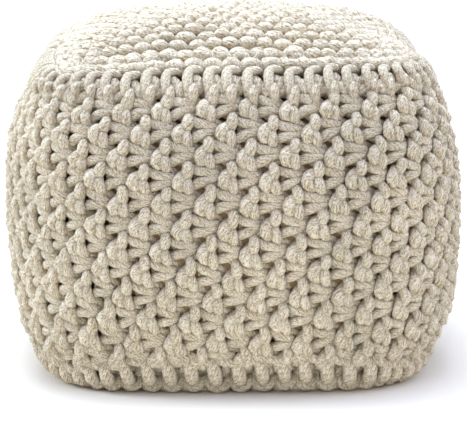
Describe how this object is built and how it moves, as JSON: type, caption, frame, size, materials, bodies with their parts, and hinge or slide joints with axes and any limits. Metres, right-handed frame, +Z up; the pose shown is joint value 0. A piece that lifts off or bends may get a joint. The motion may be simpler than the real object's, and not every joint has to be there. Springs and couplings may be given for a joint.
{
  "type": "knitted pouf",
  "caption": "Square filled pouf in thick cream moss-stitch knitting, with bulging sides, a crowned top panel and crocheted joining seams.",
  "frame": {"origin": "on the floor, under the middle of the pouf", "axes": "+Z up, front towards -Y, +X to the right as seen from the front"},
  "size_m": [0.4536, 0.4528, 0.3495],
  "materials": {
    "cotton_rope_yarn": "undyed matt cotton",
    "seam_yarn": "undyed matt cotton"
  },
  "bodies": {
    "root": {"side_band": "cotton_rope_yarn", "top_panel": "cotton_rope_yarn", "bottom_panel": "cotton_rope_yarn", "top_seam": "seam_yarn", "bottom_seam": "seam_yarn"}
  },
  "joints": []
}
